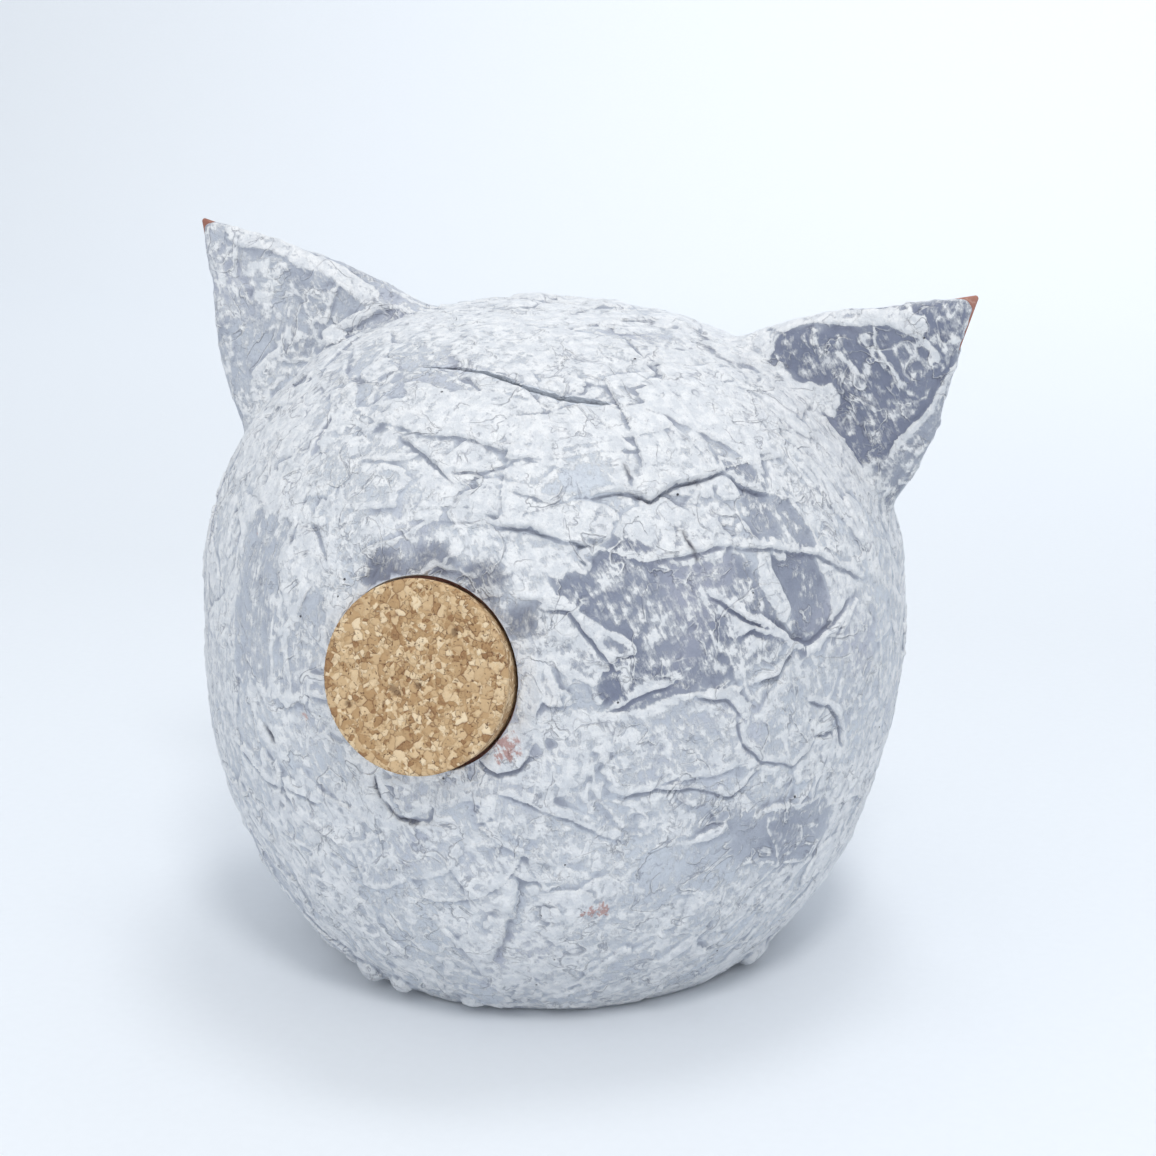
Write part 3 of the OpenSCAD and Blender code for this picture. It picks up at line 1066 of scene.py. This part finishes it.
def plaster_coat(finish):
    """The whole coat in one skin: head and ears, every stroke, the bung's hole, the slit
    and the clay's room inside."""
    parts = [egg(0, "skin"), ear_form(-1, EAR_COAT_T, 0.5 * BARE_TIP + EAR_COAT_T, "ear"),
             ear_form(1, EAR_COAT_T, BARE_TIP + EAR_COAT_T, "ear")]
    for side, up, r in LUMPS:
        parts.append(ball(on_head(side, up, -0.45 * r)[0], r))
    coat = join(parts, "plaster_coat")
    finish_with(coat, "REMESH", mode="VOXEL", voxel_size=SKIN_VOXEL * MM)
    soften_roots(coat)
    levels = 2
    finish_with(coat, "SUBSURF", levels=levels, render_levels=levels)

    points, normals = points_of(coat), normals_of(coat)
    relief = Relief(points, normals, STROKE_SEED)
    lay_zones(relief)
    lay_random_strokes(relief)
    lay_main_strokes(relief)
    lay_ear_strokes(relief)
    edges = np.empty(len(coat.data.edges) * 2, np.int32)
    coat.data.edges.foreach_get("vertices", edges)
    edges = edges.reshape(-1, 2)
    relief.height += 0.16 * value_noise(points, 4.2, 30) + 0.12 * value_noise(points, 2.3, 31)
    relief.height += 0.08 * value_noise(points, 1.3, 32)
    height = RELIEF_MOST * np.tanh(RELIEF_GAIN * relief.height / RELIEF_MOST)
    crest = (height - blurred(height, edges, 24)) / CREST_UNIT
    put_points(coat, points + normals * height[:, None])
    put_attribute(coat, "crest", np.clip(crest, -1.5, 1.5))
    for name in ("white", "tone", "run", "bare", "soot"):
        put_attribute(coat, name, blurred(getattr(relief, name), edges, 1))

    triangles = 2 * len(coat.data.polygons)
    if triangles > SKIN_TRIANGLES:
        finish_with(coat, "DECIMATE", ratio=SKIN_TRIANGLES / triangles,
                    use_collapse_triangulate=True)
    face, out = bung_axis()
    cut(coat, egg(COAT_T - BOND, "room"))
    cut(coat, ear_form(-1, BOND, 0, "left_room"))
    cut(coat, ear_form(1, BOND, 0, "right_room"))
    half = BUNG_D / 2 + BUNG_GAP
    cut(coat, cone(face - 40 * out, face + 30 * out, half - 4, half + 3, "bung_room"))
    cut(coat, slit_tool())
    cut(coat, ground_tool())
    smooth(coat, COAT_CREASE)
    give(coat, finish)
    return coat


def cork_bung(finish):
    """The tapered bung, pitted between its granules."""
    face, out = bung_axis()
    r = BUNG_D / 2
    bung = cone(face - BUNG_LEN * out, face, r - BUNG_TAPER * BUNG_LEN, r, "pressed_bung")
    finish_with(bung, "BEVEL", width=CORK_EDGE * MM, segments=3, limit_method="ANGLE",
                angle_limit=math.radians(40))
    voxel = CORK_VOXEL
    finish_with(bung, "REMESH", mode="VOXEL", voxel_size=voxel * MM)
    points, normals = points_of(bung), normals_of(bung)
    rng = np.random.default_rng(CORK_SEED)
    low, high = points.min(axis=0) - 3, points.max(axis=0) + 3
    seeds = rng.uniform(low, high, (int(np.prod(high - low) / GRANULE ** 3), 3))
    from_axis = np.linalg.norm(np.cross(seeds - face, out), axis=1)
    seeds = seeds[from_axis < r + 2]
    tree = KDTree(len(seeds))
    for k, place in enumerate(seeds):
        tree.insert(place, k)
    tree.balance()
    lift = rng.normal(0, GRANULE_LIFT, len(seeds))
    lift[rng.uniform(size=len(seeds)) < GRANULES_LOST] = -0.45
    height = np.zeros(len(points))
    pit = np.zeros(len(points))
    for k, place in enumerate(points):
        (_, first, near), (_, _, far) = tree.find_n(place, 2)
        groove = math.exp(-((far - near) / 0.3) ** 2)
        height[k] = lift[first] * (1 - groove) - 0.1 * groove
        # how deep a lost granule's pit is, for its painted shade
        pit[k] = min(1, max(0, -0.2 - height[k]) / 0.3)
    on_side = np.abs(normals @ out) < 0.6
    height = np.where(on_side, 0.35 * height, height) - 0.05
    put_points(bung, points + normals * height[:, None])
    put_attribute(bung, "pit", pit)
    smooth(bung, CORK_CREASE)
    give(bung, finish)
    return bung


# ---------------------------------------------------------------- stage

def sweep_floor(finish):
    """A pale floor that curves up into a backdrop far behind."""
    deselect()
    bpy.ops.mesh.primitive_plane_add(size=1)
    floor = made()
    floor.name = "pale_floor"
    floor.scale = (FLOOR_WIDE, FLOOR_DEEP, 1)
    floor.location = (0, FLOOR_BACK, 0)
    settle(floor)
    mode("EDIT")
    bpy.ops.mesh.select_mode(type="EDGE")
    bpy.ops.mesh.select_all(action="DESELECT")
    mode("OBJECT")
    for edge in floor.data.edges:
        edge.select = all(floor.data.vertices[k].co.y > 0 for k in edge.vertices)
    mode("EDIT")
    bpy.ops.mesh.extrude_region_move(TRANSFORM_OT_translate={"value": (0, 0.1, BACKDROP_RISE)})
    mode("OBJECT")
    finish_with(floor, "BEVEL", width=SWEEP_R, segments=24, limit_method="ANGLE",
                angle_limit=math.radians(40))
    smooth(floor, 60)
    give(floor, finish)


def soft_light(name, place, aim, size, power, tint):
    light = bpy.data.lights.new(name, "AREA")
    light.shape = "DISK"
    light.size = size
    light.energy = power
    light.color = tint
    lamp = bpy.data.objects.new(name, light)
    bpy.context.collection.objects.link(lamp)
    lamp.location = place
    lamp.rotation_euler = (Vector(aim) - Vector(place)).to_track_quat("-Z", "Y").to_euler()


def studio():
    world = bpy.data.worlds.new("studio")
    bpy.context.scene.world = world
    world.use_nodes = True
    sky = world.node_tree.nodes["Background"]
    sky.inputs["Color"].default_value = (0.93, 0.965, 1.0, 1)
    sky.inputs["Strength"].default_value = 0.78
    middle = (0, 0, 0.1)
    soft_light("key", (0.4, -0.75, 1.2), middle, 0.3, 4.9, (1, 0.995, 0.98))
    soft_light("overhead", (0.1, 0.15, 1.5), middle, 0.4, 3.6, (1, 1, 1))
    soft_light("fill", (-0.7, -1.4, 0.25), middle, 1.2, 1.9, (0.95, 0.98, 1))
    soft_light("backdrop", (0, 0.9, 1.9), (0, 2.3, 1.5), 1.2, 18, (1, 1, 1))
    bpy.context.scene.view_settings.view_transform = "Standard"


def camera():
    side, rise = math.radians(VIEW_SIDE), math.radians(VIEW_UP)
    back = Vector((math.sin(side) * math.cos(rise), -math.cos(side) * math.cos(rise),
                   math.sin(rise)))
    lens = bpy.data.cameras.new("camera")
    lens.sensor_width = 36
    lens.angle = math.radians(VIEW_ANGLE)
    lens.clip_start = 0.01
    eye = bpy.data.objects.new("camera", lens)
    bpy.context.collection.objects.link(eye)
    eye.location = Vector(VIEW_AIM) + VIEW_AWAY * back
    eye.rotation_euler = back.to_track_quat("Z", "Y").to_euler()
    bpy.context.scene.camera = eye


camera()
studio()
sweep_floor(pale_sweep())

CLAY = fired_clay()
for node in ("clay_shell", "left_ear", "right_ear"):
    give(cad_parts[node], CLAY)

COAT = plaster_coat(painted_plaster())
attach(COAT, "head")
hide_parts("body_coat", "left_ear_coat", "right_ear_coat")

BUNG = cork_bung(pressed_cork())
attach(BUNG, "bung")
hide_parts("cork_bung")
